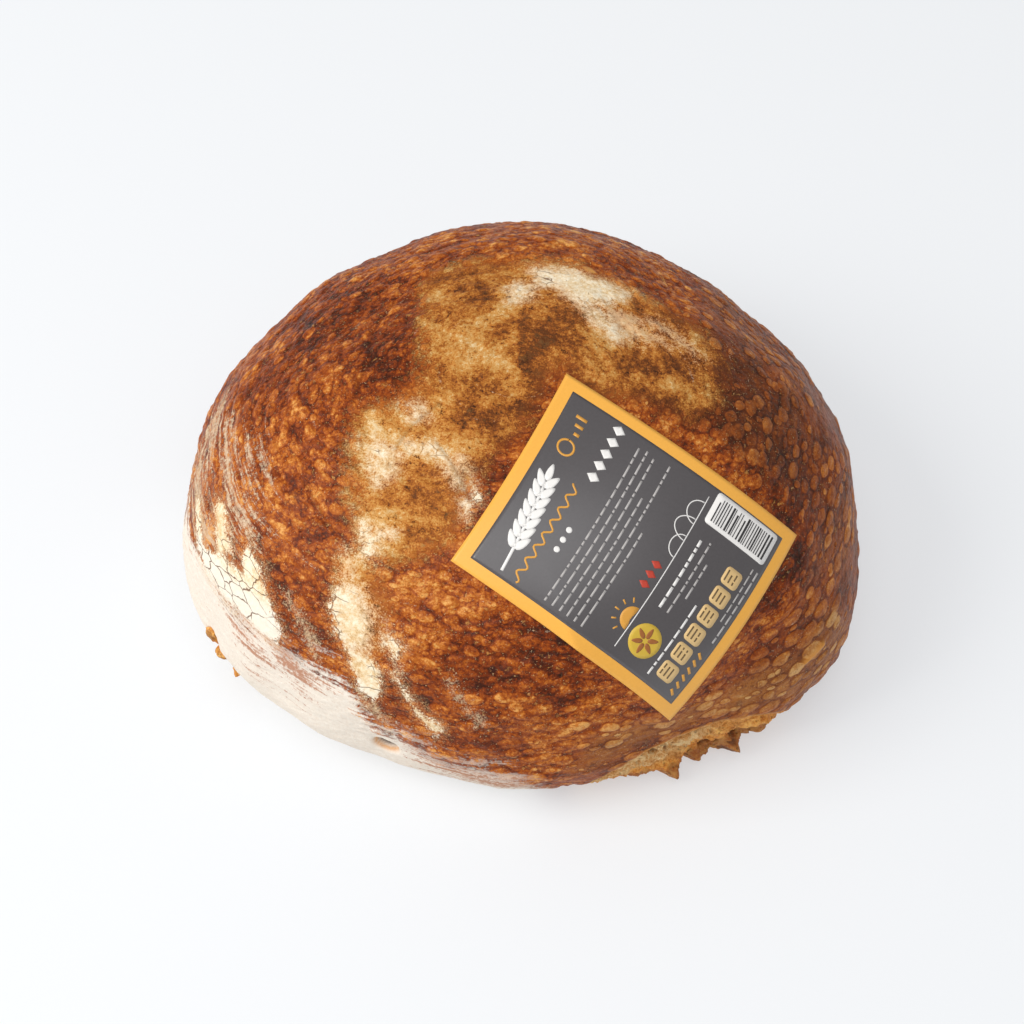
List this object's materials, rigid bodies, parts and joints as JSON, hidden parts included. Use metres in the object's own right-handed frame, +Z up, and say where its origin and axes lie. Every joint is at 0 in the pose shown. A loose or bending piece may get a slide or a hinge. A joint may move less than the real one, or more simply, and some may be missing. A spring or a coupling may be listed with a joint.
{
  "type": "sourdough loaf",
  "caption": "Round crusty loaf of bread with a square paper label stuck to the side of its crown.",
  "frame": {"origin": "on the table, under the middle of the loaf's bounding box", "axes": "+X across the loaf's widest way, to the right as the label is seen from the front; +Y towards the back, away from the label; +Z up"},
  "size_m": [0.1998, 0.1922, 0.093],
  "materials": {
    "crust": "baked crust, dark red-brown with golden blisters and patches of white flour",
    "paper": "semi-gloss printed label, amber border round a charcoal field"
  },
  "bodies": {
    "root": {"loaf": "crust", "label": "paper"}
  },
  "joints": []
}
